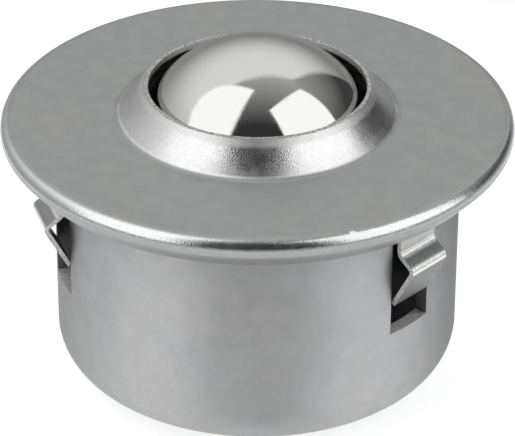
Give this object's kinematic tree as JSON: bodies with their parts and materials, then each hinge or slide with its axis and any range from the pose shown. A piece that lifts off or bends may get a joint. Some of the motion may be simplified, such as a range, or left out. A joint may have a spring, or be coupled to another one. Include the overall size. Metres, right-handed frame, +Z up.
{
  "type": "ball transfer unit",
  "caption": "Press-in ball transfer unit: a load ball on small balls in a flanged sheet steel cup, with spring clips that snap under a plate.",
  "frame": {"origin": "centre of the flat bottom of the housing", "axes": "+Z up through the load ball, square to the collar; +X outward through the first spring clip"},
  "size_m": [0.0452, 0.0452, 0.0305],
  "materials": {
    "plated_cover": "zinc-plated pressed sheet, satin",
    "plated_housing": "zinc-plated drawn sheet, satin",
    "spring_strip": "bright spring strip, satin",
    "hardened_cup": "hardened, dark",
    "polished_ball": "ground and polished bearing steel",
    "felt": "oiled pressed felt"
  },
  "bodies": {
    "housing": {"housing": "plated_housing", "top_cover": "plated_cover", "ball_cup": "hardened_cup", "felt_seal": "felt", "retaining_ring": "hardened_cup"},
    "support_balls": {"support_balls_row_1": "polished_ball", "support_balls_row_2": "polished_ball", "support_balls_row_3": "polished_ball", "support_balls_row_4": "polished_ball", "support_balls_row_5": "polished_ball", "support_balls_row_6": "polished_ball"},
    "load_ball": {"load_ball": "polished_ball"},
    "clip_1": {"clip_1": "spring_strip"},
    "clip_2": {"clip_2": "spring_strip"},
    "clip_3": {"clip_3": "spring_strip"}
  },
  "joints": [
    {"name": "support_balls_orbit", "type": "hinge", "parent": "housing", "child": "support_balls", "pos_m": [0, 0, 0.01944], "axis": [0, 0, 1], "continuous": true},
    {"name": "load_ball_roll", "type": "hinge", "parent": "support_balls", "child": "load_ball", "pos_m": [0, 0, 0.01944], "axis": [1, 0, 0], "continuous": true},
    {"name": "clip_1_flex", "type": "hinge", "parent": "housing", "child": "clip_1", "pos_m": [0.017, 0, 0.02205], "axis": [0, 1, 0], "range_deg": [0, 21], "stiffness_Nm_per_rad": 0.1},
    {"name": "clip_2_flex", "type": "hinge", "parent": "housing", "child": "clip_2", "pos_m": [-0.0085, 0.01472, 0.02205], "axis": [-0.866, -0.5, 0], "range_deg": [0, 21], "stiffness_Nm_per_rad": 0.1},
    {"name": "clip_3_flex", "type": "hinge", "parent": "housing", "child": "clip_3", "pos_m": [-0.0085, -0.01472, 0.02205], "axis": [0.866, -0.5, 0], "range_deg": [0, 21], "stiffness_Nm_per_rad": 0.1}
  ]
}
